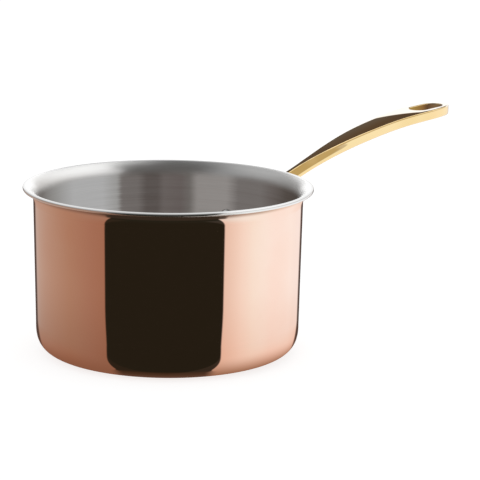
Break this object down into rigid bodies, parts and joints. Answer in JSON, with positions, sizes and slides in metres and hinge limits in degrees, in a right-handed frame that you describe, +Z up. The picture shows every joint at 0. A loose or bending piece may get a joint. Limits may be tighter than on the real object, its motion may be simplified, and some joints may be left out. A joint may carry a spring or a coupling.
{
  "type": "saucepan",
  "caption": "Deep, very slightly tapered copper saucepan with a steel-lined body, flared pouring lip and a long riveted brass handle ending in a hanging slot.",
  "frame": {"origin": "centre of the base's underside, where the pan stands", "axes": "+Z up along the body's axis, +X along the handle away from the pan"},
  "size_m": [0.3645, 0.1798, 0.1281],
  "materials": {
    "copper": "mirror-polished copper",
    "core": "mill finish, hidden between the other layers",
    "liner": "brushed around the inside, polished at the lip",
    "brass": "polished casting",
    "rivets": "polished stainless steel"
  },
  "bodies": {
    "root": {"copper_shell": "copper", "aluminium_core": "core", "steel_liner": "liner", "handle": "brass", "rivet_near": "rivets", "rivet_far": "rivets", "rivet_lower": "rivets"}
  },
  "joints": []
}
